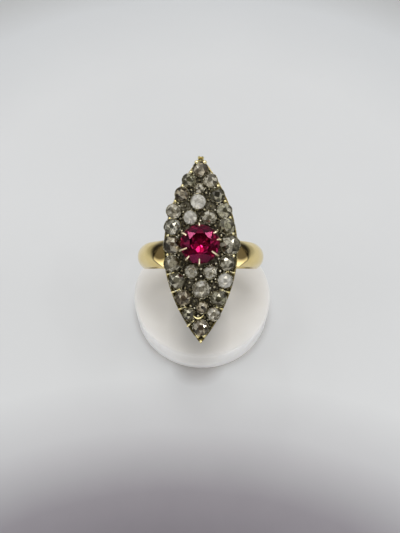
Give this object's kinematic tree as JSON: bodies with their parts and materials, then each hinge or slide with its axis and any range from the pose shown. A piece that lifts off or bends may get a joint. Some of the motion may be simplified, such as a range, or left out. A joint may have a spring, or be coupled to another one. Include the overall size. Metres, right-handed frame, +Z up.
{
  "type": "navette ring on round display stand",
  "caption": "Pointed oval cluster ring with a round centre stone in claws and a half-round shank, leaning on a bent clip in a plain round stand.",
  "frame": {"origin": "centre of the stand's underside", "axes": "+Z up, -Y the front, where the head's near tip points, +X to the viewer's right"},
  "size_m": [0.025, 0.0292, 0.0339],
  "materials": {
    "frosted_acrylic": "frosted",
    "clear_acrylic": "clear",
    "gold": "polished",
    "pale_gold": "polished",
    "old_silver": "oxidised",
    "ruby": "faceted",
    "diamond": "faceted"
  },
  "bodies": {
    "root": {"stand_base": "frosted_acrylic", "stand_clip": "clear_acrylic", "gold_mount": "gold", "silver_setting": "old_silver", "ruby_claws": "pale_gold", "ruby": "ruby", "diamond_01": "diamond", "diamond_02": "diamond", "diamond_03": "diamond", "diamond_04": "diamond", "diamond_05": "diamond", "diamond_06": "diamond", "diamond_07": "diamond", "diamond_08": "diamond", "diamond_09": "diamond", "diamond_10": "diamond", "diamond_11": "diamond", "diamond_12": "diamond", "diamond_13": "diamond", "diamond_14": "diamond", "diamond_15": "diamond", "diamond_16": "diamond", "diamond_17": "diamond", "diamond_18": "diamond", "diamond_19": "diamond", "diamond_20": "diamond", "diamond_21": "diamond", "diamond_22": "diamond", "diamond_23": "diamond", "diamond_24": "diamond", "diamond_25": "diamond", "diamond_26": "diamond", "diamond_27": "diamond", "diamond_28": "diamond"}
  },
  "joints": []
}
